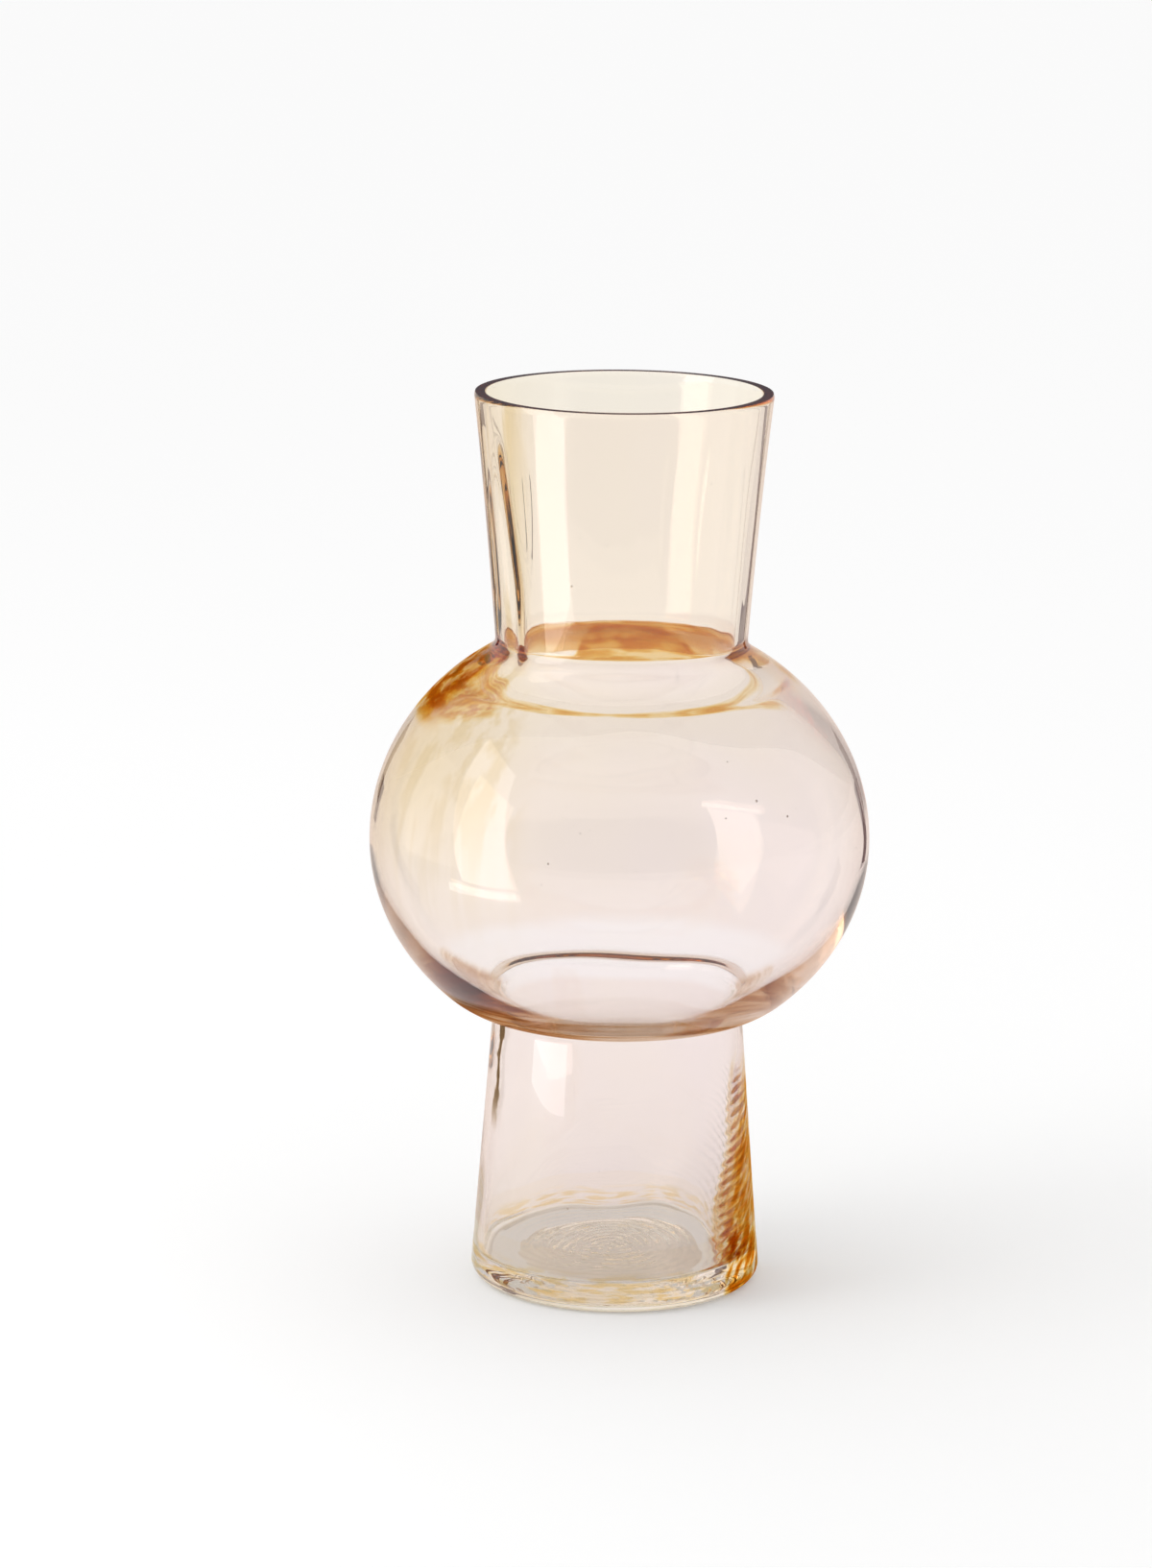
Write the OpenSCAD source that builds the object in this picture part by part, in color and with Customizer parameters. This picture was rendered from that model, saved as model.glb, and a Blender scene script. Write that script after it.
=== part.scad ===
// Glass bud vase: a flared neck on a flattened globe, standing on a hollow conical foot.
// The glass is one continuous wall of revolution. It is cut on level planes into the seven
// sections that a glassworker names, and each section is a solid that meets the next face to face.
// Origin: centre of the bottom, on the plane the vase stands on. +Z runs up the axis.

/* [Mouth and neck] */
// Height of the whole vase
height = 240; // [236:1:250]
// Outer diameter at the mouth
mouth_d = 78.6; // [74:0.1:84]
// Wall at the mouth
rim_wall = 3.2; // [2.6:0.1:4]
// Width of the small bevels that break the rim's two edges
rim_bevel = 0.3; // [0.2:0.1:0.8]
// Outer diameter of the neck where it meets the shoulder
neck_d = 66.4; // [64:0.1:70]
// Wall at the bottom of the neck
neck_wall = 3; // [2.4:0.1:3.6]
// How far the neck's side curves in from a straight cone
neck_bow = 0.25; // [0:0.05:0.5]

/* [Belly] */
// Greatest outer diameter
belly_d = 132.8; // [126:0.2:140]
// Height of the widest level above the bottom
belly_z = 120.6; // [118:0.2:124]
// Half height of the ellipse above the widest level, outside
belly_rise = 60; // [58:0.5:62]
// Half height of the ellipse below the widest level, outside
belly_drop = 57.5; // [56:0.5:60]
// Wall at the widest level
belly_wall = 2.2; // [1.8:0.1:2.8]
// How much less the inside rises than the outside, which thickens the shoulder
shoulder_extra = 8.5; // [3:0.5:10]
// How much less the inside drops than the outside, which thickens the waist
waist_extra = 5.5; // [5:0.5:8]

/* [Foot] */
// Height of the belly's flat underside, where the foot begins
waist_z = 74.4; // [73:0.2:76]
// Outer diameter of the foot under the belly
foot_top_d = 66.4; // [64:0.1:69]
// Outer diameter of the foot just above its rounded heel
foot_d = 77.4; // [74:0.1:82]
// Wall at the top of the foot
foot_wall = 1.8; // [1.6:0.1:2.4]
// How much thicker the wall is at the bottom of the foot
foot_thickening = 4.6; // [2:0.1:5]

/* [Base] */
// Radius of the rounded heel
heel_r = 4; // [3:0.5:5]
// Thickness of the glass under the hollow, at its middle
floor_z = 7; // [6:0.2:9]
// Radius of the round corner between the floor and the wall, inside
floor_corner_r = 1.6; // [1:0.2:8]
// Radius of the shallow hollow under the base
punt_r = 25; // [20:1:28]
// Depth of the shallow hollow under the base
punt_depth = 1.2; // [0.6:0.2:2]

/* [Hidden] */

// Levels where one section ends and the next begins
foot_from = 16;
waist_from = 66;
belly_from = 86;
shoulder_from = 156;
neck_from = 182;
rim_from = height - 6;

mouth_r = mouth_d / 2;
neck_r = neck_d / 2;
belly_r = belly_d / 2;
foot_top_r = foot_top_d / 2;
foot_r = foot_d / 2;

// The inside ellipses of the belly
hollow_r = belly_r - belly_wall;
hollow_rise = belly_rise - shoulder_extra;
hollow_drop = belly_drop - waist_extra;

// How far the soft corners at the shoulder and the waist, outside and inside, reach from where the
// surfaces would cross
shoulder_blend = 2;
throat_blend = 6;
waist_blend = 2.4;
underside_blend = 4;
passage_blend = 3;

curve_steps = 6;
angle_step = 5;
round_fn = 96;

// Glass tints, from the warm neck to the clear base
amber_glass = [0.90, 0.78, 0.62, 0.55];
peach_glass = [0.93, 0.84, 0.78, 0.5];
clear_glass = [0.90, 0.88, 0.84, 0.5];

// Height on an ellipse about the belly's widest level, at radius r
function ellipse_z(r, a, c) = belly_z + c * sqrt(1 - pow(r / a, 2));

// Points on that ellipse between two heights, going from z0 to z1
function ellipse_arc(a, c, z0, z1) =
    let (
        t0 = asin((z0 - belly_z) / c),
        t1 = asin((z1 - belly_z) / c),
        n = max(1, ceil(abs(t1 - t0) / angle_step))
    )
    [for (i = [0:n]) let (t = t0 + (t1 - t0) * i / n) [a * cos(t), belly_z + c * sin(t)]];

// Radius of that ellipse at height z
function ellipse_r(z, a, c) = a * sqrt(1 - pow((z - belly_z) / c, 2));

// A smooth bend from p to q that leaves each along the line to the corner k, without its end points
function bend(p, k, q) =
    [for (i = [1:curve_steps - 1]) let (s = i / curve_steps) pow(1 - s, 2) * p + 2 * s * (1 - s) * k + s * s * q];

// Outer radius of the foot and of the neck at height z
function foot_outer(z) = foot_r + (foot_top_r - foot_r) * (z - heel_r) / (waist_z - heel_r);
function neck_outer(z) =
    let (s = (z - shoulder_z) / (height - shoulder_z))
    neck_r + (mouth_r - neck_r) * s - 4 * neck_bow * s * (1 - s);

// Inner radius of the foot, whose wall thickens downwards, and of the neck
function foot_inner(z) = foot_outer(z) - foot_wall - foot_thickening * pow(1 - z / waist_z, 2);
function neck_inner(z) =
    let (s = (z - shoulder_z) / (height - shoulder_z))
    neck_outer(z) - neck_wall - (rim_wall - neck_wall) * s;

// Height where the neck's side meets the belly's ellipse
shoulder_z = ellipse_z(neck_r, belly_r, belly_rise);

// Radius where the belly's ellipse would reach its flat underside
underside_r = ellipse_r(waist_z, belly_r, belly_drop);

// The hollow narrows at the top and the bottom of the belly to the neck's and the foot's bore
throat_z = ellipse_z(neck_r - neck_wall, hollow_r, hollow_rise);
passage_r = foot_inner(waist_z);
passage_z = ellipse_z(passage_r, hollow_r, -hollow_drop);

function heel_arc() = [for (t = [-90:15:0]) [foot_r - heel_r + heel_r * cos(t), heel_r + heel_r * sin(t)]];
function punt_arc() = [for (i = [0:curve_steps]) let (s = i / curve_steps) [punt_r * s, punt_depth * (1 - s * s)]];
function corner_arc() =
    let (wall_r = foot_inner(floor_z + floor_corner_r))
    [for (t = [0:-30:-90])
        [wall_r - floor_corner_r + floor_corner_r * cos(t), floor_z + floor_corner_r + floor_corner_r * sin(t)]];

function outside() = concat(
    punt_arc(),
    heel_arc(),
    [[foot_outer(waist_z - waist_blend), waist_z - waist_blend]],
    bend([foot_outer(waist_z - waist_blend), waist_z - waist_blend], [foot_top_r, waist_z],
         [foot_top_r + waist_blend, waist_z]),
    [[foot_top_r + waist_blend, waist_z]],
    [[underside_r - underside_blend, waist_z]],
    bend([underside_r - underside_blend, waist_z], [underside_r, waist_z],
         [ellipse_r(waist_z + underside_blend, belly_r, belly_drop), waist_z + underside_blend]),
    ellipse_arc(belly_r, belly_drop, waist_z + underside_blend, belly_z),
    ellipse_arc(belly_r, belly_rise, belly_z + 1, shoulder_z - shoulder_blend),
    bend([ellipse_r(shoulder_z - shoulder_blend, belly_r, belly_rise), shoulder_z - shoulder_blend],
         [neck_r, shoulder_z], [neck_outer(shoulder_z + shoulder_blend), shoulder_z + shoulder_blend]),
    [for (i = [0:curve_steps])
        let (z = shoulder_z + shoulder_blend + (height - rim_bevel - shoulder_z - shoulder_blend) * i / curve_steps)
        [neck_outer(z), z]],
    [[mouth_r - rim_bevel, height]]
);

function inside() = concat(
    [[mouth_r - rim_wall + rim_bevel, height]],
    [for (i = [0:curve_steps])
        let (z = height - rim_bevel - (height - rim_bevel - throat_z - throat_blend) * i / curve_steps)
        [neck_inner(z), z]],
    bend([neck_inner(throat_z + throat_blend), throat_z + throat_blend], [neck_r - neck_wall, throat_z],
         [ellipse_r(throat_z - throat_blend, hollow_r, hollow_rise), throat_z - throat_blend]),
    ellipse_arc(hollow_r, hollow_rise, throat_z - throat_blend, belly_z),
    ellipse_arc(hollow_r, hollow_drop, belly_z - 1, passage_z + passage_blend),
    bend([ellipse_r(passage_z + passage_blend, hollow_r, hollow_drop), passage_z + passage_blend],
         [passage_r, passage_z], [foot_inner(passage_z - passage_blend), passage_z - passage_blend]),
    [for (i = [0:curve_steps])
        let (
            top = passage_z - passage_blend,
            bottom = floor_z + floor_corner_r,
            z = top + (bottom - top) * i / curve_steps
        )
        [foot_inner(z), z]],
    [for (i = [1:len(corner_arc()) - 1]) corner_arc()[i]],
    [[0, floor_z]]
);

// The ring of glass between two levels
module glass(from, to, tint) {
    color(tint)
        rotate_extrude($fn = round_fn)
            intersection() {
                polygon(concat(outside(), inside()));
                translate([0, from])
                    square([belly_d, to - from]);
            }
}

// Thick bottom with the rounded heel, the inner floor and the shallow hollow underneath
module base() {
    glass(0, foot_from, clear_glass);
}

// Hollow cone that carries the belly
module foot() {
    glass(foot_from, waist_from, peach_glass);
}

// Thick ring where the foot opens into the belly
module waist() {
    glass(waist_from, belly_from, peach_glass);
}

// Widest, thinnest stretch of the globe
module belly() {
    glass(belly_from, shoulder_from, peach_glass);
}

// Thick ring where the belly closes in to the neck
module shoulder() {
    glass(shoulder_from, neck_from, amber_glass);
}

// Tube that flares upwards and holds the stems
module neck() {
    glass(neck_from, rim_from, amber_glass);
}

// Ground and polished top edge with its two small bevels
module rim() {
    glass(rim_from, height, amber_glass);
}

base();
foot();
waist();
belly();
shoulder();
neck();
rim();
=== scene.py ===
from math import asin, ceil, cos, hypot, pi, radians, sin, sqrt

import bpy
import numpy as np
from mathutils import Matrix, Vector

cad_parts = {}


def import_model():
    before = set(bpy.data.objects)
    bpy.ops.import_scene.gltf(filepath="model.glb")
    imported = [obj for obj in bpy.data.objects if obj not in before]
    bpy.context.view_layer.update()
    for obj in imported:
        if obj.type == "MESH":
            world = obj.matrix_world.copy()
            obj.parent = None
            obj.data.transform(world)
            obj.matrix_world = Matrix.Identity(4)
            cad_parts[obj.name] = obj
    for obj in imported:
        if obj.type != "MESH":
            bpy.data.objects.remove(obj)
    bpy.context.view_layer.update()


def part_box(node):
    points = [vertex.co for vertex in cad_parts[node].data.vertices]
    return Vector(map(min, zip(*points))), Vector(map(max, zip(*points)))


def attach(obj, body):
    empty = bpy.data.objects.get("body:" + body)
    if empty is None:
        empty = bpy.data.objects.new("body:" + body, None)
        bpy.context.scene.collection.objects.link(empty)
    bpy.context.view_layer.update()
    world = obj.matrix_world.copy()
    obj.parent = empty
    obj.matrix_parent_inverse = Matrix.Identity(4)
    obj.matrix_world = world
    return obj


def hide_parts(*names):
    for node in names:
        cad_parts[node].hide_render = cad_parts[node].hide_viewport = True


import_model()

MM = 0.001

# ---------------------------------------------------------------- sizes, from the frame
SECTIONS = ("base", "foot", "waist", "belly", "shoulder", "neck", "rim")
BOTTOM_OF = {name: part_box(name)[0].z for name in SECTIONS}
TOP_OF = {name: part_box(name)[1].z for name in SECTIONS}
HEIGHT = TOP_OF["rim"]
MOUTH_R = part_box("rim")[1].x
BELLY_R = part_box("belly")[1].x
FOOT_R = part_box("base")[1].x

# ---------------------------------------------------------------- shape of the glass, as in part.scad
RIM_WALL = 3.2 * MM
RIM_BEVEL = 0.3 * MM
NECK_R = 33.2 * MM
NECK_WALL = 3.0 * MM
NECK_BOW = 0.25 * MM
BELLY_Z = 120.6 * MM
BELLY_RISE = 60.0 * MM
BELLY_DROP = 57.5 * MM
BELLY_WALL = 2.2 * MM
SHOULDER_EXTRA = 8.5 * MM
WAIST_EXTRA = 5.5 * MM
WAIST_Z = 74.4 * MM
FOOT_TOP_R = 33.2 * MM
FOOT_WALL = 1.8 * MM
FOOT_THICKENING = 4.6 * MM
HEEL_R = 4.0 * MM
FLOOR_Z = 7.0 * MM
FLOOR_CORNER_R = 1.6 * MM
PUNT_R = 25.0 * MM
PUNT_DEPTH = 1.2 * MM
SHOULDER_BLEND = 2.0 * MM
THROAT_BLEND = 6.0 * MM
WAIST_BLEND = 2.4 * MM
UNDERSIDE_BLEND = 4.0 * MM
PASSAGE_BLEND = 3.0 * MM

# ---------------------------------------------------------------- how finely the glass is meshed
# Points round the axis, and the spacing of the rings, which is finer in the foot's hollow
AROUND = 256
RING_STEP = 0.9 * MM
FINE_STEP = 0.36 * MM

# ---------------------------------------------------------------- hand-blown unevenness
HOLLOW_SHIFT = 2.4 * MM
SKIN_WAVE = 0.05 * MM
SKIN_FADE = 20 * MM
PUNT_RING_HEIGHT = 0.12 * MM
BELLY_WAVE = 0.05 * MM

# The neck's inside: waves, mostly on the left, and ribs that fade in above the throat
NECK_WAVE = 0.22 * MM
NECK_FADE = 30 * MM
THROAT_FADE = 10 * MM
RIB_HEIGHT = 0.9 * MM
RIB_FROM, RIB_FULL = 4 * MM, 28 * MM
RIB_BEARINGS = ((152, 1.0), (176, 0.8), (206, 1.0))
RIB_WANDER = 6

# The foot's inside: slanting ridges on the right, and a swirl on the floor
RIDGE_HEIGHT = 0.12 * MM
RIDGE_PITCH = 2.8 * MM
RIDGE_FULL_Z = 30 * MM
RIDGE_TURNS = 12
SWIRL_HEIGHT = 0.045 * MM
SWIRL_PITCH = 2.6 * MM
SWIRL_EYE = 6 * MM

# Seed bubbles in each section: how many, lowest and highest (m), from and to which bearing (degrees),
# and the radii of the smallest and the largest (mm)
BUBBLES = {
    "belly": (26, 0.122, 0.155, 232, 345),
    "waist": (3, 0.082, 0.085, 225, 320),
    "neck": (5, 0.186, 0.23, 230, 320),
    "foot": (5, 0.02, 0.062, 235, 310),
}
BUBBLE_SMALL = 0.1
BUBBLE_LARGE = 0.42

HOLLOW_R = BELLY_R - BELLY_WALL
HOLLOW_RISE = BELLY_RISE - SHOULDER_EXTRA
HOLLOW_DROP = BELLY_DROP - WAIST_EXTRA


def ellipse_r(z, a, c):
    """Radius at a height, on an ellipse about the belly's widest level."""
    return a * sqrt(1 - ((z - BELLY_Z) / c) ** 2)


def ellipse_z(r, a, c):
    """Height at a radius, on such an ellipse."""
    return BELLY_Z + c * sqrt(1 - (r / a) ** 2)


SHOULDER_Z = ellipse_z(NECK_R, BELLY_R, BELLY_RISE)
UNDERSIDE_R = ellipse_r(WAIST_Z, BELLY_R, BELLY_DROP)


# Radii of the foot's cone and of the neck, and of the bore in each
def foot_outer(z):
    return FOOT_R + (FOOT_TOP_R - FOOT_R) * (z - HEEL_R) / (WAIST_Z - HEEL_R)


def foot_inner(z):
    return foot_outer(z) - FOOT_WALL - FOOT_THICKENING * (1 - z / WAIST_Z) ** 2


def neck_outer(z):
    s = (z - SHOULDER_Z) / (HEIGHT - SHOULDER_Z)
    return NECK_R + (MOUTH_R - NECK_R) * s - 4 * NECK_BOW * s * (1 - s)


def neck_inner(z):
    s = (z - SHOULDER_Z) / (HEIGHT - SHOULDER_Z)
    return neck_outer(z) - NECK_WALL - (RIM_WALL - NECK_WALL) * s


THROAT_Z = ellipse_z(NECK_R - NECK_WALL, HOLLOW_R, HOLLOW_RISE)
PASSAGE_R = foot_inner(WAIST_Z)
PASSAGE_Z = ellipse_z(PASSAGE_R, HOLLOW_R, -HOLLOW_DROP)


# ---------------------------------------------------------------- outline curves
def arc(centre, radius, start, end, steps=24):
    """Points on a circle, from one angle to another, in degrees."""
    angles = [radians(start + (end - start) * i / steps) for i in range(steps + 1)]
    return [(centre[0] + radius * cos(t), centre[1] + radius * sin(t)) for t in angles]


def ellipse_arc(a, c, z0, z1, steps=80):
    """Points on an ellipse about the belly's widest level, from one height to another."""
    t0, t1 = asin((z0 - BELLY_Z) / c), asin((z1 - BELLY_Z) / c)
    angles = [t0 + (t1 - t0) * i / steps for i in range(steps + 1)]
    return [(a * cos(t), BELLY_Z + c * sin(t)) for t in angles]


def bend(p, k, q, steps=24):
    """A smooth bend from p to q that leaves each along the line to the corner k."""
    out = []
    for i in range(steps + 1):
        s = i / steps
        w = ((1 - s) ** 2, 2 * s * (1 - s), s * s)
        out.append(tuple(w[0] * p[n] + w[1] * k[n] + w[2] * q[n] for n in (0, 1)))
    return out


def side(radius_at, z0, z1, steps=60):
    """Points on a side whose radius is a function of height."""
    levels = [z0 + (z1 - z0) * i / steps for i in range(steps + 1)]
    return [(radius_at(z), z) for z in levels]


def outside():
    """The outer outline, from the middle of the underside up to the mouth."""
    def belly_point(z, c):
        return ellipse_r(z, BELLY_R, c), z

    steps = 30
    punt = [(PUNT_R * s / steps, PUNT_DEPTH * (1 - (s / steps) ** 2)) for s in range(steps + 1)]
    foot_top, under = WAIST_Z - WAIST_BLEND, WAIST_Z + UNDERSIDE_BLEND
    low, high = SHOULDER_Z - SHOULDER_BLEND, SHOULDER_Z + SHOULDER_BLEND
    return (
        punt
        + arc((FOOT_R - HEEL_R, HEEL_R), HEEL_R, -90, 0)
        + side(foot_outer, HEEL_R, foot_top)
        + bend((foot_outer(foot_top), foot_top), (FOOT_TOP_R, WAIST_Z), (FOOT_TOP_R + WAIST_BLEND, WAIST_Z))
        + bend((UNDERSIDE_R - UNDERSIDE_BLEND, WAIST_Z), (UNDERSIDE_R, WAIST_Z), belly_point(under, BELLY_DROP))
        + ellipse_arc(BELLY_R, BELLY_DROP, under, BELLY_Z)
        + ellipse_arc(BELLY_R, BELLY_RISE, BELLY_Z, low)
        + bend(belly_point(low, BELLY_RISE), (NECK_R, SHOULDER_Z), (neck_outer(high), high))
        + side(neck_outer, high, HEIGHT - RIM_BEVEL)
        + [(MOUTH_R - RIM_BEVEL, HEIGHT)]
    )


def inside():
    """The outline of the hollow, from the mouth down to the middle of the floor."""
    def hollow_point(z, c):
        return ellipse_r(z, HOLLOW_R, c), z

    high, low = THROAT_Z + THROAT_BLEND, THROAT_Z - THROAT_BLEND
    above, below = PASSAGE_Z + PASSAGE_BLEND, PASSAGE_Z - PASSAGE_BLEND
    corner_top = FLOOR_Z + FLOOR_CORNER_R
    corner_x = foot_inner(corner_top) - FLOOR_CORNER_R
    return (
        [(MOUTH_R - RIM_WALL + RIM_BEVEL, HEIGHT)]
        + side(neck_inner, HEIGHT - RIM_BEVEL, high)
        + bend((neck_inner(high), high), (NECK_R - NECK_WALL, THROAT_Z), hollow_point(low, HOLLOW_RISE))
        + ellipse_arc(HOLLOW_R, HOLLOW_RISE, low, BELLY_Z)
        + ellipse_arc(HOLLOW_R, HOLLOW_DROP, BELLY_Z, above)
        + bend(hollow_point(above, HOLLOW_DROP), (PASSAGE_R, PASSAGE_Z), (foot_inner(below), below))
        + side(foot_inner, below, corner_top)
        + arc((corner_x, corner_top), FLOOR_CORNER_R, 0, -90)
        + [(0.0, FLOOR_Z)]
    )


def resample(points, step_at, levels):
    """Points along an outline, about step_at(height) apart, that cross every level exactly."""
    pts = [points[0]]
    for p in points[1:]:
        if hypot(p[0] - pts[-1][0], p[1] - pts[-1][1]) > 1e-9:
            pts.append(p)
    pts = np.array(pts)
    run = np.concatenate([[0], np.cumsum(np.hypot(*np.diff(pts, axis=0).T))])
    fixed = [0.0, run[-1]]
    for level in levels:
        for i in range(len(pts) - 1):
            z0, z1 = pts[i][1], pts[i + 1][1]
            if (z0 - level) * (z1 - level) < 0 or z0 == level:
                fixed.append(run[i] + (run[i + 1] - run[i]) * (level - z0) / (z1 - z0))
    fixed = sorted(set(fixed))
    at = []
    for a, b in zip(fixed, fixed[1:]):
        n = max(1, ceil((b - a) / step_at(np.interp((a + b) / 2, run, pts[:, 1]))))
        at += [a + (b - a) * i / n for i in range(n)]
    at.append(run[-1])
    return np.stack([np.interp(at, run, pts[:, 0]), np.interp(at, run, pts[:, 1])], 1)


CUTS = sorted(TOP_OF[name] for name in SECTIONS[:-1])
OUTER = resample(outside(), lambda z: RING_STEP, CUTS)
INNER = resample(inside(), lambda z: FINE_STEP if z < TOP_OF["foot"] else RING_STEP, CUTS)


# ---------------------------------------------------------------- surfaces
def revolve(outline):
    """A grid of points: one row for each outline point, turned round the axis."""
    angle = np.arange(AROUND) * 2 * pi / AROUND
    r, z = outline[:, :1], outline[:, 1:]
    return np.stack([r * np.cos(angle), r * np.sin(angle), z + 0 * angle], -1)


def grid_normals(grid):
    """Unit normals of a revolved grid, out of the glass."""
    around = np.roll(grid, -1, 1) - np.roll(grid, 1, 1)
    along = np.gradient(grid, axis=0)
    n = np.cross(around, along)
    size = np.linalg.norm(n, axis=-1, keepdims=True)
    flat = size[..., 0] < 1e-14
    n = n / np.maximum(size, 1e-14)
    n[flat] = (0, 0, 1)
    return n


def waves(angle, height, seed, around, along, count=12):
    """Smooth unevenness of about unit size: the sum of count waves, each with up to around turns about
    the axis and along cycles per metre of height."""
    rng = np.random.default_rng(seed)
    total = np.zeros(np.broadcast(angle, height).shape)
    for _ in range(count):
        turns = rng.integers(1, around + 1)
        total += np.cos(turns * angle + 2 * pi * rng.uniform(-along, along) * height + rng.uniform(0, 2 * pi))
    return total / sqrt(count / 2)


def ease(value, low, high):
    """0 below low, 1 above high, smooth between. low may be the greater."""
    t = np.clip((value - low) / (high - low), 0, 1)
    return t * t * (3 - 2 * t)


def facing(angle, direction, sharpness):
    """1 on the side of the vase that looks in one direction (degrees from +X), 0 on the other."""
    return ((1 + np.cos(angle - np.radians(direction))) / 2) ** sharpness


def push(grid, outward, upward=0):
    """Moves a grid's points away from the axis and up."""
    r = np.maximum(np.hypot(grid[..., 0], grid[..., 1]), 1e-9)
    grid = grid.copy()
    scale = 1 + outward / r
    grid[..., 0] *= scale
    grid[..., 1] *= scale
    grid[..., 2] += upward
    return grid


def uneven_outside(grid):
    """The fire-polished skin: a faint, long unevenness of the sides, and shallow rings in the hollow
    under the base."""
    angle, z = np.arctan2(grid[..., 1], grid[..., 0]), grid[..., 2]
    r = np.hypot(grid[..., 0], grid[..., 1])
    wave = SKIN_WAVE * (waves(angle, z, seed=3, around=5, along=12) - 3)
    keep = ease(z, HEEL_R, 4 * HEEL_R) * ease(z, HEIGHT - RIM_BEVEL, HEIGHT - SKIN_FADE)
    in_punt = ease(r, PUNT_R, 0.6 * PUNT_R) * ease(z, HEEL_R, PUNT_DEPTH)
    rings = np.sin(2 * pi * r / SWIRL_PITCH - angle + waves(angle, 4 * r, seed=41, around=5, along=30))
    return push(grid, wave * keep / 2, PUNT_RING_HEIGHT * in_punt * rings)


def neck_relief(angle, z):
    """How far waves push the neck's inside out, and ribs pull it in."""
    rim_free = ease(z, HEIGHT - RIM_BEVEL, HEIGHT - NECK_FADE)
    in_neck = ease(z, THROAT_Z - THROAT_FADE, THROAT_Z + THROAT_FADE)
    place = in_neck * rim_free * (0.12 + facing(angle, direction=190, sharpness=6))
    wave = NECK_WAVE * place * waves(angle, z, seed=11, around=26, along=7)
    wander = RIB_WANDER * waves(0 * angle, z, seed=17, around=1, along=14, count=4)
    ribs = sum(size * facing(angle, at + wander, sharpness=260) for at, size in RIB_BEARINGS)
    return wave - RIB_HEIGHT * ease(z, THROAT_Z + RIB_FROM, THROAT_Z + RIB_FULL) * rim_free * ribs


def foot_relief(angle, z):
    """Slanting ridges on the right of the foot's inside, fullest near the floor."""
    phase = 2 * pi * z / RIDGE_PITCH - RIDGE_TURNS * angle + 0.9 * waves(angle, z, seed=23, around=10, along=70)
    place = ease(z, TOP_OF["foot"], RIDGE_FULL_Z) * facing(angle, direction=8, sharpness=16)
    return RIDGE_HEIGHT * place * np.sin(phase)


def floor_swirl(angle, r, z):
    """The swirl left in the floor, with a calm eye."""
    phase = 2 * pi * r / SWIRL_PITCH + 2 * angle + 0.8 * waves(angle, 4 * r, seed=31, around=3, along=14)
    on_floor = ease(z, FLOOR_Z + 0.4 * FLOOR_CORNER_R, FLOOR_Z)
    return SWIRL_HEIGHT * on_floor * ease(r, 0, SWIRL_EYE) * np.sin(phase)


def uneven_inside(grid):
    """The hollow: off centre at the bottom, wavy in the neck, ridged in the foot, swirled on the floor."""
    angle, z = np.arctan2(grid[..., 1], grid[..., 0]), grid[..., 2]
    r = np.hypot(grid[..., 0], grid[..., 1])
    wall = ease(z, FLOOR_Z + 0.2 * FLOOR_CORNER_R, FLOOR_Z + 2 * FLOOR_CORNER_R)
    below_neck = 1 - ease(z, THROAT_Z - THROAT_FADE, THROAT_Z + THROAT_FADE)
    belly = BELLY_WAVE * wall * below_neck * waves(angle, z, seed=5, around=12, along=45, count=20)
    outward = neck_relief(angle, z) + belly + wall * foot_relief(angle, z)
    grid = push(grid, outward, floor_swirl(angle, r, z))
    grid[..., 0] -= HOLLOW_SHIFT * ease(z, TOP_OF["foot"] - 2 * MM, 0)
    return grid


OUTER_GRID = uneven_outside(revolve(OUTER))
INNER_GRID = uneven_inside(revolve(INNER))
OUTER_NORMALS = grid_normals(OUTER_GRID)
INNER_NORMALS = grid_normals(INNER_GRID)
OUTER_NORMALS[0] = (0, 0, -1)
INNER_NORMALS[-1] = (0, 0, 1)

# Material slots, in the order that every piece has them
FILM, CLEAR, SEAM, GROUND = 0, 1, 2, 3


def rows_between(outline, z0, z1):
    """The run of rows of an outline that lies between two levels."""
    inside_rows = np.where((outline[:, 1] >= z0 - 1e-7) & (outline[:, 1] <= z1 + 1e-7))[0]
    return list(range(inside_rows[0], inside_rows[-1] + 1))


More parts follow.
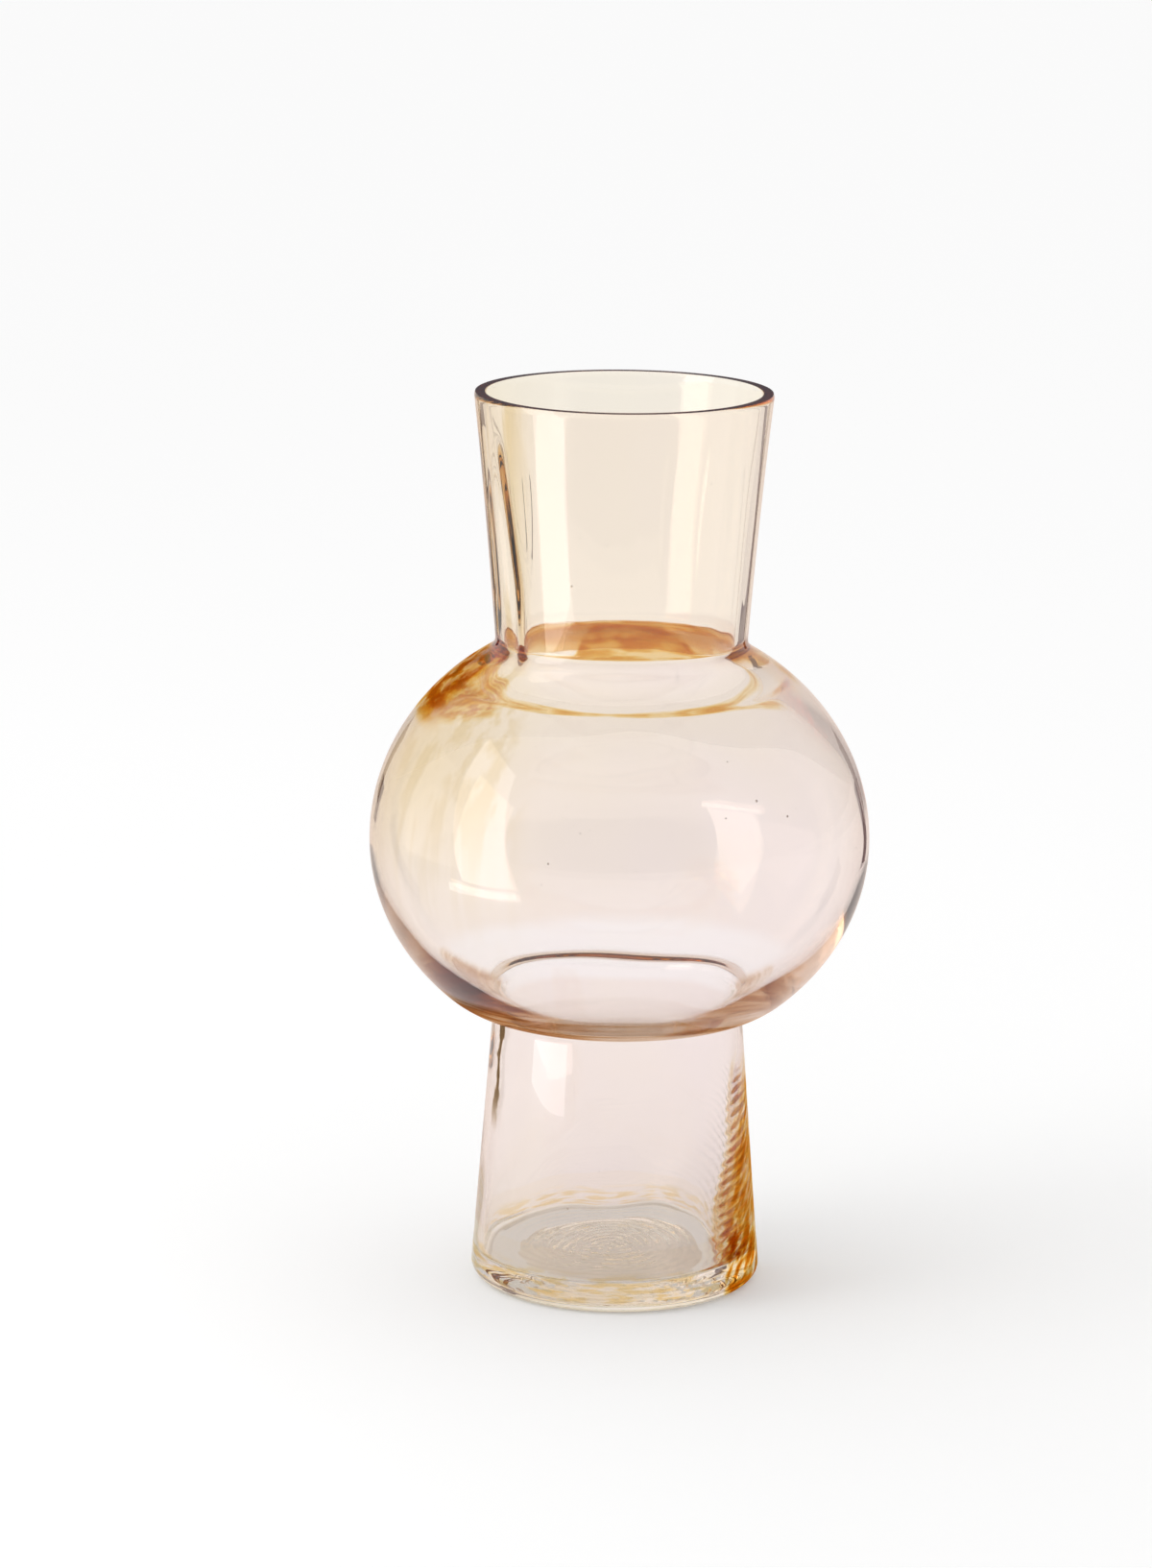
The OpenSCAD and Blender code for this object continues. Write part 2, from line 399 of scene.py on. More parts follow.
class Builder:
    """Collects the vertices, faces, materials and corner normals of one piece."""

    def __init__(self):
        self.verts, self.faces, self.mats, self.normals = [], [], [], []

    def add_rows(self, grid, rows):
        """Adds rows of a grid and returns their vertex numbers. A row on the axis is a single point."""
        ids = []
        for i in rows:
            start = len(self.verts)
            if np.ptp(grid[i], axis=0).max() < 1e-7:
                self.verts.append(tuple(grid[i, 0]))
                ids.append([start] * AROUND)
            else:
                self.verts += [tuple(p) for p in grid[i]]
                ids.append(list(range(start, start + AROUND)))
        return ids

    def skin(self, ids, normals, rows, mat):
        """Faces between neighbouring rows, with the surface's own normals."""
        for a, b, ra, rb in zip(ids, ids[1:], rows, rows[1:]):
            for j in range(AROUND):
                k = (j + 1) % AROUND
                corners = [(a[j], ra, j), (a[k], ra, k), (b[k], rb, k), (b[j], rb, j)]
                seen, keep = set(), []
                for c in corners:
                    if c[0] not in seen:
                        seen.add(c[0])
                        keep.append(c)
                self.faces.append([c[0] for c in keep])
                self.normals += [tuple(normals[c[1], c[2]]) for c in keep]
                self.mats.append(mat)

    def cap(self, outer_ids, inner_ids, up):
        """The flat ring where this section meets the next."""
        for j in range(AROUND):
            k = (j + 1) % AROUND
            ring = [outer_ids[j], outer_ids[k], inner_ids[k], inner_ids[j]]
            self.faces.append(ring if up else ring[::-1])
            self.normals += [(0, 0, 1 if up else -1)] * 4
            self.mats.append(SEAM)

    def bubble(self, centre, radius, around=12, rings=6):
        """A small closed void in the glass: a sphere that faces inwards."""
        start = len(self.verts)
        spots = [(0.0, 0.0, -1.0)]
        for i in range(1, rings):
            t = pi * i / rings
            turns = [2 * pi * j / around for j in range(around)]
            spots += [(sin(t) * cos(turn), sin(t) * sin(turn), -cos(t)) for turn in turns]
        spots.append((0.0, 0.0, 1.0))
        self.verts += [tuple(c + radius * n for c, n in zip(centre, spot)) for spot in spots]
        last = len(spots) - 1

        def at(i, j):
            return 0 if i == 0 else last if i == rings else 1 + (i - 1) * around + j % around

        for i in range(rings):
            for j in range(around):
                corners = [at(i, j), at(i + 1, j), at(i + 1, j + 1), at(i, j + 1)]
                corners = [c for n, c in enumerate(corners) if c not in corners[:n]]
                self.faces.append([start + c for c in corners])
                self.normals += [tuple(-v for v in spots[c]) for c in corners]
                self.mats.append(CLEAR)

    def build(self, name, materials):
        mesh = bpy.data.meshes.new(name)
        mesh.from_pydata(self.verts, [], self.faces)
        mesh.polygons.foreach_set("material_index", self.mats)
        mesh.polygons.foreach_set("use_smooth", [True] * len(self.faces))
        for material in materials:
            mesh.materials.append(material)
        mesh.normals_split_custom_set(self.normals)
        mesh.update()
        piece = bpy.data.objects.new(name, mesh)
        bpy.context.scene.collection.objects.link(piece)
        return piece


def bubbles(name):
    """Seed bubbles trapped half way through the wall: centres and radii."""
    if name not in BUBBLES:
        return []
    count, low, high, start, end = BUBBLES[name]
    rng = np.random.default_rng(8)
    out = []
    for _ in range(count):
        z, turn = rng.uniform(low, high), radians(rng.uniform(start, end))
        r = sum(np.interp(z, *wall_line(grid, name, turn)) for grid in (OUTER_GRID, INNER_GRID)) / 2
        size = MM * (BUBBLE_SMALL + (BUBBLE_LARGE - BUBBLE_SMALL) * rng.uniform() ** 3)
        out.append(((r * cos(turn), r * sin(turn), z), size))
    return out


def wall_line(grid, name, turn):
    """Heights and radii of one surface of a section at one bearing, lowest first."""
    outline = OUTER if grid is OUTER_GRID else INNER
    rows = rows_between(outline, BOTTOM_OF[name], TOP_OF[name])
    line = grid[rows, round(turn * AROUND / (2 * pi)) % AROUND]
    line = line[np.argsort(line[:, 2])]
    return line[:, 2], np.hypot(line[:, 0], line[:, 1])


def section(name, materials):
    """One section of the vase, closed by a flat ring at each cut."""
    z0, z1 = BOTTOM_OF[name], TOP_OF[name]
    outer_rows = rows_between(OUTER, z0, z1)
    inner_rows = rows_between(INNER, z0, z1)
    made = Builder()
    outer_ids = made.add_rows(OUTER_GRID, outer_rows)
    inner_ids = made.add_rows(INNER_GRID, inner_rows)
    made.skin(outer_ids, OUTER_NORMALS, outer_rows, FILM)
    made.skin(inner_ids, INNER_NORMALS, inner_rows, CLEAR)
    for centre, radius in bubbles(name):
        made.bubble(centre, radius)
    if name == "rim":
        top_face(made, outer_ids[-1], inner_ids[0])
    else:
        made.cap(outer_ids[-1], inner_ids[0], True)
    if name != "base":
        made.cap(outer_ids[0], inner_ids[-1], False)
    return made.build(name + "_glass", materials)


def top_face(made, outer_ids, inner_ids):
    """The ground flat ring of the rim, tinted dark with painted shade."""
    for j in range(AROUND):
        k = (j + 1) % AROUND
        made.faces.append([outer_ids[j], outer_ids[k], inner_ids[k], inner_ids[j]])
        made.normals += [(0, 0, 1)] * 4
        made.mats.append(GROUND)


# ---------------------------------------------------------------- tints of the glass
GLASS_IOR = 1.5
ROSE_FRONT = (0.965, 0.91, 0.935)
ROSE_BACK = (0.93, 0.868, 0.842)
GOLD_FRONT = (0.99, 0.94, 0.92)
GOLD_BACK = (0.96, 0.9, 0.8)
HONEY_FRONT = (0.94, 0.855, 0.73)
HONEY_BACK = (0.9, 0.81, 0.64)
# Dark gold of the painted streaks on the left, for light bent through the neck's edge
PAINTED_STREAK_FRONT = (0.86, 0.74, 0.54)
# Brown painted shade under the belly
UNDERSIDE = (0.79, 0.62, 0.44)
# Olive of the painted dark streak at the foot's left edge
OLIVE_SHADE = (0.68, 0.62, 0.53)
CREASE = (0.97, 0.955, 0.95)
SOLE = (0.995, 0.985, 0.94)
# Amber of the painted shade and glints, of the painted arch in the hollow, and of the base's smears
AMBER = (0.84, 0.56, 0.17)
SLANT_FRONT = (0.84, 0.72, 0.66)
SLANT_BACK = (0.8, 0.56, 0.25)
BASE_SLANT_FRONT = (0.9, 0.85, 0.78)
BASE_SLANT_BACK = (0.86, 0.75, 0.54)
STRAW = (0.995, 0.975, 0.925)
LOSSLESS = (1.0, 1.0, 1.0)
# The rim top's dark tint is painted shade, for the dim light that reaches it from within the glass
RIM_TOP_PAINTED_SHADE = (0.22, 0.18, 0.2)
GROUND_ROUGHNESS = 0.2

# Where each tint lies: the places along X, Y or Z (m) where it is absent and where it is full
GOLD_Z, GOLD_X = (0.09, 0.2), (0.03, -0.06)
GOLD_AT_LEFT, GOLD_CLOUD, CLOUD_SIZE = 0.45, 0.15, 0.035
HONEY_Z, HONEY_X = (0.1, 0.15), (-0.012, -0.062)
# Where the painted streaks on the left lie, and their size
STREAK_X, STREAK_SIZE = (-0.022, -0.031), 0.006

# Stretches of the film where light that comes from within at a slant keeps its colour
WAIST_BACK_Z, WAIST_BACK_Y = (0.11, 0.09), (-0.02, 0.005)
RIGHT_LOW_Z, RIGHT_LOW_X = (0.12, 0.1), (0.01, 0.03)
FRONT_TOP_Z, FRONT_TOP_Y = (0.14, 0.15), (-0.01, -0.03)
PALE_SHARE, GUIDED_SHARE = 0.8, 0.7

# How far off square to the film light is, from 0 to 1, where the slant's tint sets in and is full
FRONT_SLANT, BACK_SLANT, GUIDED_SLANT = (0.45, 1.0), (0.24, 0.5), (0.25, 0.27)

# The brown crescent under the belly, whose upper edge rises on the left: painted shade, for the dark light
# paths at the underside's edge
UNDER_TOP, UNDER_BOTTOM, UNDER_Y = (0.0792, 0.0768), (0.0732, 0.0742), (0.012, 0.0)
UNDER_LIFT_X, UNDER_LIFT = (-0.01, -0.034), 0.005
UNDER_DEEP_X, UNDER_DEEP, UNDER_LINE = (0.0, -0.03), 1.7, 0.0011

# The pale back of the crease over the foot, and the pale sole
CREASE_BOTTOM, CREASE_TOP, CREASE_Y = (0.066, 0.07), (0.086, 0.08), (0.0, 0.012)
SOLE_Z, SOLE_SHARE = (0.0035, 0.002), 0.85

# The painted dark streak in the foot, for the shade at its left edge: its bearing, how far from it the tint
# ends and is full, and its reach
DARK_STREAK_ACROSS_X, DARK_STREAK_ACROSS_Y = 0.3955, 0.918
DARK_STREAK_EDGE, DARK_STREAK_RAGGED, DARK_STREAK_DEPTH = (0.0017, 0.0008), 0.0011, 4.0
DARK_STREAK_BOTTOM, DARK_STREAK_TOP, DARK_STREAK_Y = (0.042, 0.058), (0.0745, 0.073), (-0.002, -0.008)

# The painted amber shade on the left of the shoulder, for the dark light seen through the thick glass there
SHOULDER_SHADE_X, SHOULDER_SHADE_Y = (-0.033, -0.039), (-0.023, -0.011)
SHOULDER_SHADE_BOTTOM, SHOULDER_SHADE_TOP, SHOULDER_SHADE_SIZE = (0.1535, 0.16), (0.1735, 0.171), 0.006

# The painted amber glints in lines up the right of the foot, for light reflected round its thick wall: their
# left edge leans in, and they deepen in the base
GLINTS_LEAN_Z, GLINTS_LEAN_X, GLINTS_EDGE = (0.01, 0.072), (0.0295, 0.0345), (-0.0006, 0.0016)
GLINTS_TOP, GLINTS_Y, GLINTS_DEEP_Z, GLINTS_DEEP = (0.066, 0.056), (0.01, 0.002), (0.024, 0.008), 1.7
GLINTS_TURN, GLINTS_SIZE = -0.6, 0.0024

# The faint amber band round the base
BAND_TOP, BAND_BOTTOM, BAND_SIZE, BAND_DEPTH = (0.012, 0.008), (0.002, 0.004), 0.0024, 0.35

# The painted amber arch at the back of the throat, in the hollow's skin: it stands in for light tinted on its
# way round the thick ring
ARCH_RIGHT_X, ARCH_LEFT_X, ARCH_Z = (0.006, 0.033), (-0.007, -0.017), (0.1728, 0.1625)
ARCH_EDGE, ARCH_Y, ARCH_BOTTOM, ARCH_PATCH = (0.0008, -0.0018), (0.0, 0.008), (0.157, 0.161), 0.011
LEAST_AMBER = 0.01


# ---------------------------------------------------------------- materials
def new_material(name):
    material = bpy.data.materials.new(name)
    material.use_nodes = True
    material.node_tree.nodes.clear()
    return material, material.node_tree


class Shade:
    """One node tree, with the coordinates that its colours depend on."""

    def __init__(self, tree, coordinates="Object"):
        self.tree = tree
        self.coords = self.node("ShaderNodeTexCoord").outputs[coordinates]
        split = self.node("ShaderNodeSeparateXYZ")
        self.feed(split.inputs[0], self.coords)
        self.x, self.y, self.z = split.outputs

    def node(self, kind):
        return self.tree.nodes.new(kind)

    def feed(self, socket, value):
        """Gives a socket a number or a colour, or links another socket to it."""
        if isinstance(value, (int, float)):
            socket.default_value = value
        elif isinstance(value, tuple):
            socket.default_value = (*value, 1)
        else:
            self.tree.links.new(value, socket)

    def ramp(self, value, absent, full, start=0.0, end=1.0):
        """A smooth step from start, where the value is absent, to end, where it is full."""
        node = self.node("ShaderNodeMapRange")
        node.interpolation_type = "SMOOTHSTEP"
        self.feed(node.inputs["Value"], value)
        for name, number in (("From Min", absent), ("From Max", full), ("To Min", start), ("To Max", end)):
            node.inputs[name].default_value = number
        return node.outputs["Result"]

    def noise(self, size, stretch=(1, 1, 1), detail=2.0, coords=None):
        """Noise whose features are about size metres across, stretched along the axes."""
        mapping = self.node("ShaderNodeMapping")
        mapping.inputs["Scale"].default_value = [1 / k for k in stretch]
        self.feed(mapping.inputs["Vector"], self.coords if coords is None else coords)
        texture = self.node("ShaderNodeTexNoise")
        texture.inputs["Scale"].default_value = 1 / size
        texture.inputs["Detail"].default_value = detail
        self.feed(texture.inputs["Vector"], mapping.outputs[0])
        return texture.outputs["Fac"]

    def calc(self, operation, a, b=0.0):
        node = self.node("ShaderNodeMath")
        node.operation = operation
        self.feed(node.inputs[0], a)
        self.feed(node.inputs[1], b)
        return node.outputs[0]

    def times(self, product, *factors):
        for factor in factors:
            product = self.calc("MULTIPLY", product, factor)
        return product

    def mix(self, factor, a, b, blend="MIX"):
        """A colour mix. factor, a and b are sockets, or plain values."""
        node = self.node("ShaderNodeMix")
        node.data_type = "RGBA"
        node.blend_type = blend
        ends = [i for i in node.inputs if i.type == "RGBA"]
        for socket, value in zip([node.inputs[0]] + ends, (factor, a, b)):
            self.feed(socket, value)
        return [o for o in node.outputs if o.type == "RGBA"][0]

    def deepened(self, tint, amount):
        """A tint after light has gone an amount of glass: the colour to that power."""
        node = self.node("ShaderNodeGamma")
        self.feed(node.inputs["Color"], tint)
        self.feed(node.inputs["Gamma"], amount)
        return node.outputs[0]

    def stained(self, colour, tint, amount):
        """A colour with an amount of a tint laid over it."""
        return self.mix(1.0, colour, self.deepened(tint, amount), "MULTIPLY")


def glass(name, colour, roughness=0.0):
    """Glass whose colour is a plain value, or a function that makes it from the node tree."""
    material, tree = new_material(name)
    out = tree.nodes.new("ShaderNodeOutputMaterial")
    shader = tree.nodes.new("ShaderNodeBsdfGlass")
    shader.inputs["Roughness"].default_value = roughness
    shader.inputs["IOR"].default_value = GLASS_IOR
    if callable(colour):
        tree.links.new(colour(Shade(tree)), shader.inputs["Color"])
    else:
        shader.inputs["Color"].default_value = (*colour, 1)
    tree.links.new(shader.outputs[0], out.inputs["Surface"])
    return material


def film_colour(s, slant_front, slant_back):
    """A lustre film: rose below and on the right, gold above and on the left. Light that meets it at a
    slant goes a longer way through it, so it is deeper there, most of all from within. Painted shade, painted
    glints and painted streaks lie over it in places."""
    height = s.ramp(s.z, *GOLD_Z)
    gold = s.calc("ADD", height, s.calc("ADD", s.ramp(s.x, *GOLD_X, 0.0, GOLD_AT_LEFT), clouds(s)))
    honey = s.times(s.ramp(s.x, *HONEY_X), s.ramp(s.z, *HONEY_Z))
    weight = s.node("ShaderNodeLayerWeight")
    weight.inputs["Blend"].default_value = 0.5
    slant = weight.outputs["Facing"]
    from_outside = s.mix(honey, s.mix(gold, ROSE_FRONT, GOLD_FRONT), HONEY_FRONT)
    # Painted dark-gold streaks on the neck's left side
    from_outside = s.mix(painted_streaks_at_left(s, height), from_outside, PAINTED_STREAK_FRONT)
    from_outside = s.mix(s.ramp(slant, *FRONT_SLANT), from_outside, slant_front)
    from_within = s.mix(honey, s.mix(gold, ROSE_BACK, GOLD_BACK), HONEY_BACK)
    from_within = slanted_within(s, slant, from_within, slant_back)
    film = s.mix(s.node("ShaderNodeNewGeometry").outputs["Backfacing"], from_outside, from_within)
    # Painted brown shade at the front of the belly's underside
    film = s.stained(film, UNDERSIDE, crescent(s))
    film = s.mix(crease(s), film, CREASE)
    film = s.mix(s.ramp(s.z, *SOLE_Z, 0.0, SOLE_SHARE), film, SOLE)
    # Painted amber shade and glints, and amber smears round the base
    film = s.stained(film, AMBER, painted_amber_and_band(s))
    # Painted dark streak at the foot's left edge
    return s.stained(film, OLIVE_SHADE, painted_dark_streak(s))


def clouds(s):
    """Soft clouds of a little more and a little less gold."""
    return s.ramp(s.noise(CLOUD_SIZE, (1, 1, 2.5)), 0.35, 0.65, -GOLD_CLOUD, GOLD_CLOUD)


def painted_streaks_at_left(s, height):
    """Painted upright streaks on the neck's left side, dark gold, for the light bent through its edge."""
    streak = s.ramp(s.noise(STREAK_SIZE, (1, 1, 14), 3), 0.46, 0.62)
    return s.times(streak, s.times(s.ramp(s.x, *STREAK_X), height))


def slanted_within(s, slant, colour, slant_back):
    """The film's colour from within: deeper at a slant, but pale at the back of the waist, low on the
    right and at the upper front, and lossless where the first two guide light along the wall."""
    waist_back = s.times(s.ramp(s.z, *WAIST_BACK_Z), s.ramp(s.y, *WAIST_BACK_Y))
    right_low = s.times(s.ramp(s.z, *RIGHT_LOW_Z), s.ramp(s.x, *RIGHT_LOW_X))
    front_top = s.times(s.ramp(s.z, *FRONT_TOP_Z), s.ramp(s.y, *FRONT_TOP_Y))
    pale = s.calc("MAXIMUM", waist_back, s.times(s.calc("MAXIMUM", front_top, right_low), PALE_SHARE))
    deep = s.times(s.ramp(slant, *BACK_SLANT), s.calc("SUBTRACT", 1.0, pale))
    guide = s.calc("MAXIMUM", waist_back, s.times(right_low, GUIDED_SHARE))
    colour = s.mix(deep, colour, slant_back)
    return s.mix(s.times(s.ramp(slant, *GUIDED_SLANT), guide), colour, LOSSLESS)


def crescent(s):
    """How deep the painted brown shade is at the front of the belly's underside, in fine level lines."""
    edge = s.calc("SUBTRACT", s.z, s.ramp(s.x, *UNDER_LIFT_X, 0.0, UNDER_LIFT))
    under = s.times(s.ramp(edge, *UNDER_TOP), s.ramp(s.z, *UNDER_BOTTOM), s.ramp(s.y, *UNDER_Y))
    lines = s.ramp(s.noise(UNDER_LINE, (30, 30, 1), 2), 0.38, 0.62, 0.5, 1.7)
    return s.times(under, s.times(lines, s.ramp(s.x, *UNDER_DEEP_X, 1.0, UNDER_DEEP)))


def crease(s):
    """The back of the crease between the foot and the belly."""
    return s.times(s.ramp(s.z, *CREASE_BOTTOM), s.ramp(s.z, *CREASE_TOP), s.ramp(s.y, *CREASE_Y))


def painted_dark_streak(s):
    """A painted dark streak in the upper left of the foot, along one bearing, ragged at its edges: shade at the
    foot's left edge.
    """
    across = s.calc("SUBTRACT", s.times(s.x, DARK_STREAK_ACROSS_X), s.times(s.y, DARK_STREAK_ACROSS_Y))
    ragged = s.ramp(s.noise(0.006, (0.6, 0.6, 1.4), 3), 0.3, 0.7, -DARK_STREAK_RAGGED, DARK_STREAK_RAGGED)
    near = s.ramp(s.calc("ABSOLUTE", s.calc("ADD", across, ragged)), *DARK_STREAK_EDGE)
    near = s.times(near, s.ramp(s.z, *DARK_STREAK_BOTTOM), s.ramp(s.z, *DARK_STREAK_TOP))
    return s.times(near, s.ramp(s.y, *DARK_STREAK_Y, 0.0, DARK_STREAK_DEPTH))


def painted_amber_and_band(s):
    """How much amber lies over the film: painted shade on the shoulder's left, painted glints on the foot's
    right, and level smears round the base.
    """
    return s.calc("MAXIMUM", s.calc("MAXIMUM", painted_shoulder_shade(s), painted_foot_glints(s)), band(s))


def painted_shoulder_shade(s):
    """Painted dark amber shade on the left of the shoulder, for the dark light seen through the thick glass
    there.
    """
    place = s.times(s.ramp(s.x, *SHOULDER_SHADE_X), s.ramp(s.y, *SHOULDER_SHADE_Y))
    place = s.times(place, s.ramp(s.z, *SHOULDER_SHADE_BOTTOM), s.ramp(s.z, *SHOULDER_SHADE_TOP))
    return s.times(place, s.ramp(s.noise(SHOULDER_SHADE_SIZE, (1, 1, 0.5), 2), 0.36, 0.6, 0.5, 2.6))


def painted_foot_glints(s):
    """Painted amber glints in tilted lines up the right of the foot, for light reflected round its thick wall.
    """
    edge = s.ramp(s.z, *GLINTS_LEAN_Z, *GLINTS_LEAN_X)
    place = s.times(
        s.ramp(s.calc("SUBTRACT", s.x, edge), *GLINTS_EDGE), s.ramp(s.z, *GLINTS_TOP), s.ramp(s.y, *GLINTS_Y)
    )
    turned = s.node("ShaderNodeVectorRotate")
    turned.rotation_type = "X_AXIS"
    turned.inputs["Angle"].default_value = GLINTS_TURN
    s.feed(turned.inputs["Vector"], s.coords)
    lines = s.ramp(s.noise(GLINTS_SIZE, (1, 5, 1), 3, turned.outputs[0]), 0.36, 0.64, 0.15, 2.0)
    return s.times(place, lines, s.ramp(s.z, *GLINTS_DEEP_Z, 1.0, GLINTS_DEEP))


def band(s):
    """Level smears of amber round the base, above its sole."""
    smears = s.ramp(s.noise(BAND_SIZE, (3, 3, 0.5), 3), 0.44, 0.62, 0.0, BAND_DEPTH)
    return s.times(smears, s.ramp(s.z, *BAND_TOP), s.ramp(s.z, *BAND_BOTTOM))


def inner_colour(s):
    """The hollow's skin: nearly clear, with a painted amber arch behind the throat, where thick glass gathered:
    painted light, for the light tinted on its way round the thick ring.
    """
    to_side = s.calc("MAXIMUM", s.ramp(s.x, *ARCH_RIGHT_X), s.ramp(s.x, *ARCH_LEFT_X))
    arch = s.ramp(to_side, 0.0, 1.0, *ARCH_Z)
    throat = s.ramp(s.calc("SUBTRACT", s.z, arch), *ARCH_EDGE)
    throat = s.times(throat, s.ramp(s.y, *ARCH_Y), s.ramp(s.z, *ARCH_BOTTOM))
    throat = s.times(throat, s.ramp(s.noise(ARCH_PATCH, (1, 1, 0.35), 2), 0.38, 0.6, 0.5, 1.7))
    return s.deepened(AMBER, s.calc("MAXIMUM", throat, LEAST_AMBER))


def seam_material():
    """Nothing to see: two sections meet there in unbroken glass."""
    material, tree = new_material("glass_seam")
    out = tree.nodes.new("ShaderNodeOutputMaterial")
    shader = tree.nodes.new("ShaderNodeBsdfTransparent")
    tree.links.new(shader.outputs[0], out.inputs["Surface"])
    return material


def vase():
    # The film also carries the painted shade, glints and streaks
    film = glass("film_glass", lambda s: film_colour(s, SLANT_FRONT, SLANT_BACK))
    base_film = glass("base_film_glass", lambda s: film_colour(s, BASE_SLANT_FRONT, BASE_SLANT_BACK))
    # The hollow's skin carries the painted amber arch behind the throat
    clear = glass("clear_glass", inner_colour)
    straw = glass("straw_glass", STRAW)
    # The rim top: ground glass with a painted dark shade
    ground = glass("ground_glass_painted_shade", RIM_TOP_PAINTED_SHADE, GROUND_ROUGHNESS)
    seam = seam_material()
    for part in SECTIONS:
        skins = [base_film, straw] if part == "base" else [film, clear]
        piece = section(part, skins + [seam, ground])
        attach(piece, "root")
        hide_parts(part)


# ---------------------------------------------------------------- floor, light and camera
WINDOW_STRENGTH = 3.4
WINDOW = [(-0.526, -0.175, 0.002), (-0.402, -0.394, 0.002), (-0.404, -0.238, 0.504), (-0.479, 0.03, 0.583)]
STRIP_STRENGTH = 4.0
SIDE_STRENGTH = 1.5
SIDE_X, SIDE_FRONT, SIDE_BACK, SIDE_TOP = -0.9, -0.5, 0.4, 0.6
CARD_STRENGTH = 0.16
CARD_COLOUR = (1.0, 0.75, 0.85)
CARD_DISTANCE, CARD_TOP, CARD_LEFT_BOTTOM = 0.47, 0.17, 0.07
SKY_BACK = 1.0
SKY_DIM = 0.5
SKY_LEFT = 1.05
SKY_RIGHT = 0.75
FLOOR_SIZE = 12
FLOOR_ALBEDO = 0.8
FLOOR_GLOW = 0.28
POOL_GLOW = 0.19
POOL_CENTRE = (-0.5, -0.15, 0)
POOL_FROM, POOL_R = 0.1, 0.9
CAMERA_PLACE = (0, -1.42, 0.456)
CAMERA_LENS, SENSOR_WIDTH = 126.1, 36
CAMERA_PITCH, CAMERA_YAW, CAMERA_ROLL = 12.741, 0.47, 0.55
BOUNCES, CLEAR_BOUNCES = 48, 64


def sheet(name, corners):
    """A flat piece of the stage, and its mesh."""
    mesh = bpy.data.meshes.new(name)
    mesh.from_pydata(corners, [], [(0, 1, 2, 3)])
    obj = bpy.data.objects.new(name, mesh)
    bpy.context.scene.collection.objects.link(obj)
    return obj, mesh


def floor():
    """A plain white table with a glow of its own, fainter where the window's light already falls."""
    size = FLOOR_SIZE
    obj, mesh = sheet("floor", [(-size, -size, 0), (size, -size, 0), (size, size, 0), (-size, size, 0)])
    material, tree = new_material("floor_white")
    out = tree.nodes.new("ShaderNodeOutputMaterial")
    shader = tree.nodes.new("ShaderNodeBsdfDiffuse")
    shader.inputs["Color"].default_value = (FLOOR_ALBEDO, FLOOR_ALBEDO, FLOOR_ALBEDO, 1)
    glow = tree.nodes.new("ShaderNodeEmission")
    s = Shade(tree)
    from_window = s.node("ShaderNodeVectorMath")
    from_window.operation = "DISTANCE"
    s.feed(from_window.inputs[0], s.coords)
    from_window.inputs[1].default_value = POOL_CENTRE
    strength = s.ramp(from_window.outputs["Value"], POOL_FROM, POOL_R, POOL_GLOW, FLOOR_GLOW)
    s.feed(glow.inputs["Strength"], strength)
    both = s.node("ShaderNodeAddShader")
    s.feed(both.inputs[0], shader.outputs[0])
    s.feed(both.inputs[1], glow.outputs[0])
    s.feed(out.inputs["Surface"], both.outputs[0])
    mesh.materials.append(material)


def panel(name, corners, strength, colour=(1, 1, 1)):
    """A sheet beside the vase, out of the picture: a light, or below strength 1 a dim card."""
    obj, mesh = sheet(name, corners)
    material, tree = new_material(name)
    out = tree.nodes.new("ShaderNodeOutputMaterial")
    shader = tree.nodes.new("ShaderNodeEmission")
    shader.inputs["Color"].default_value = (*colour, 1)
    shader.inputs["Strength"].default_value = strength
    tree.links.new(shader.outputs[0], out.inputs["Surface"])
    mesh.materials.append(material)
    obj.visible_camera = False
    if strength < 1:
        obj.visible_diffuse = False
        obj.visible_shadow = False


def upright(near, far, distance, top, bottom=0.001):
    """Corners of an upright sheet between two bearings: degrees from the camera's side, to the left."""
    (x0, y0), (x1, y1) = [(-distance * sin(radians(t)), -distance * cos(radians(t))) for t in (near, far)]
    return [(x0, y0, bottom), (x1, y1, bottom), (x1, y1, top), (x0, y0, top)]


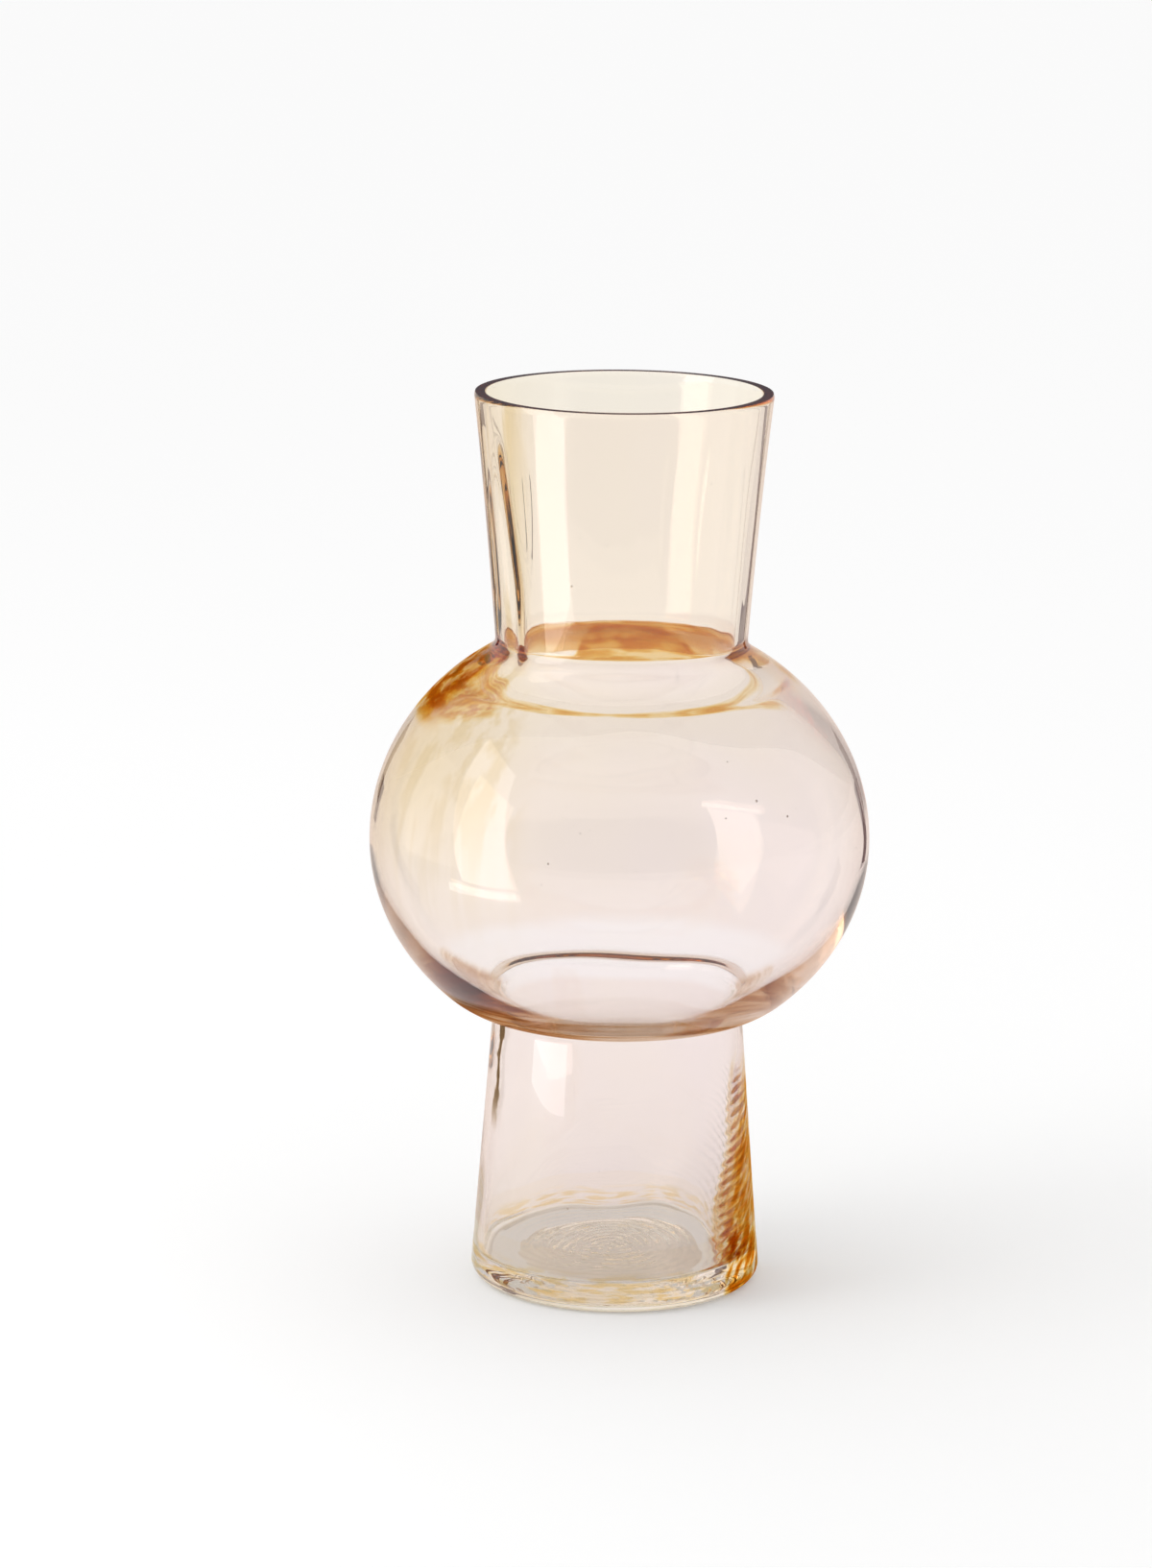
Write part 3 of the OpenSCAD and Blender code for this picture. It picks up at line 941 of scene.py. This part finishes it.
def panels():
    """A tilted window, a strip and a side light on the left, and two dim cards behind the vase."""
    side_light = [
        (SIDE_X, SIDE_FRONT, 0.002), (SIDE_X, SIDE_BACK, 0.002),
        (SIDE_X, SIDE_BACK, SIDE_TOP), (SIDE_X, SIDE_FRONT, SIDE_TOP),
    ]
    card_left = upright(146, 153, CARD_DISTANCE, CARD_TOP, CARD_LEFT_BOTTOM)
    panel("window", WINDOW, WINDOW_STRENGTH)
    panel("strip", upright(44, 78, 0.4, 0.03), STRIP_STRENGTH)
    panel("side_light", side_light, SIDE_STRENGTH)
    panel("card_left", card_left, CARD_STRENGTH, CARD_COLOUR)
    panel("card_right", upright(-151, -144, CARD_DISTANCE, CARD_TOP), CARD_STRENGTH, CARD_COLOUR)


def world():
    """A bright backdrop all round, dimmer on the camera's side and on the right."""
    studio = bpy.data.worlds.new("studio")
    bpy.context.scene.world = studio
    studio.use_nodes = True
    background = studio.node_tree.nodes["Background"]
    s = Shade(studio.node_tree, "Generated")
    strength = s.ramp(s.ramp(s.y, -0.9, -0.4), 0, 1, SKY_DIM, SKY_BACK)
    strength = s.times(strength, s.ramp(s.x, -0.9, 0.9, SKY_LEFT, SKY_RIGHT))
    background.inputs["Color"].default_value = (1, 1, 1, 1)
    s.feed(background.inputs["Strength"], strength)


def camera():
    """In front of the vase and above its mouth, tipped down, with a long lens."""
    data = bpy.data.cameras.new("camera")
    data.sensor_width = SENSOR_WIDTH
    data.lens = CAMERA_LENS
    cam = bpy.data.objects.new("camera", data)
    bpy.context.scene.collection.objects.link(cam)
    cam.matrix_world = (
        Matrix.Translation(CAMERA_PLACE)
        @ Matrix.Rotation(radians(CAMERA_YAW), 4, "Z")
        @ Matrix.Rotation(pi / 2 - radians(CAMERA_PITCH), 4, "X")
        @ Matrix.Rotation(radians(CAMERA_ROLL), 4, "Z")
    )
    bpy.context.scene.camera = cam


def light_paths(cycles):
    """Light crosses many clear surfaces before it leaves the vase."""
    cycles.transparent_max_bounces = CLEAR_BOUNCES
    cycles.max_bounces = BOUNCES
    cycles.glossy_bounces = BOUNCES
    cycles.transmission_bounces = BOUNCES


vase()
floor()
world()
panels()
camera()
light_paths(bpy.context.scene.cycles)
bpy.context.scene.view_settings.view_transform = "Standard"
